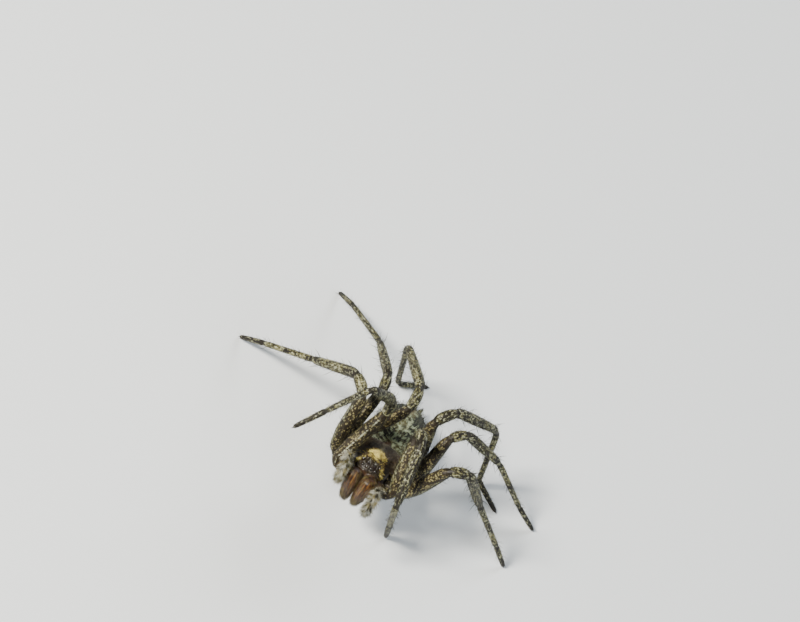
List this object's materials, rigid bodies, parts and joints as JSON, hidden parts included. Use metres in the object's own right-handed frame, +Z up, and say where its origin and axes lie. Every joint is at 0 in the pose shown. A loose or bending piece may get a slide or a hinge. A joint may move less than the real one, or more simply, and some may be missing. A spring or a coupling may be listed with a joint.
{
  "type": "labyrinth spider",
  "caption": "Life-size still model of a labyrinth spider, a hairy long-legged funnel-web spider, crouching on its feet with one front foot raised.",
  "frame": {"origin": "on the floor, under the middle of the spider's box", "axes": "+X to the spider's left, along its widest span of legs; -Y the way it faces; +Z up from the floor"},
  "size_m": [0.0254, 0.0182, 0.0141],
  "materials": {
    "coat": "dark brown body wall with grey-brown and golden hair",
    "abdomen": "soft skin under short grey-brown hair with paler bars",
    "jaw": "smooth glossy orange-brown jaw",
    "leg": "olive-brown with dark speckles under pale hair",
    "foot": "darker brown slim foot under short hair"
  },
  "bodies": {
    "root": {"abdomen": "abdomen", "cephalothorax": "coat", "chelicera_left": "jaw", "chelicera_right": "jaw", "leg_left_1_coxa": "coat", "leg_left_1_femur": "leg", "leg_left_1_foot": "foot", "leg_left_1_tibia": "leg", "leg_left_2_coxa": "coat", "leg_left_2_femur": "leg", "leg_left_2_foot": "foot", "leg_left_2_tibia": "leg", "leg_left_3_coxa": "coat", "leg_left_3_femur": "leg", "leg_left_3_foot": "foot", "leg_left_3_tibia": "leg", "leg_left_4_coxa": "coat", "leg_left_4_femur": "leg", "leg_left_4_foot": "foot", "leg_left_4_tibia": "leg", "leg_right_1_coxa": "coat", "leg_right_1_femur": "leg", "leg_right_1_foot": "foot", "leg_right_1_tibia": "leg", "leg_right_2_coxa": "coat", "leg_right_2_femur": "leg", "leg_right_2_foot": "foot", "leg_right_2_tibia": "leg", "leg_right_3_coxa": "coat", "leg_right_3_femur": "leg", "leg_right_3_foot": "foot", "leg_right_3_tibia": "leg", "leg_right_4_coxa": "coat", "leg_right_4_femur": "leg", "leg_right_4_foot": "foot", "leg_right_4_tibia": "leg", "palp_left_femur": "leg", "palp_left_tip": "leg", "palp_right_femur": "leg", "palp_right_tip": "leg", "spinneret_left": "abdomen", "spinneret_right": "abdomen"}
  },
  "joints": []
}
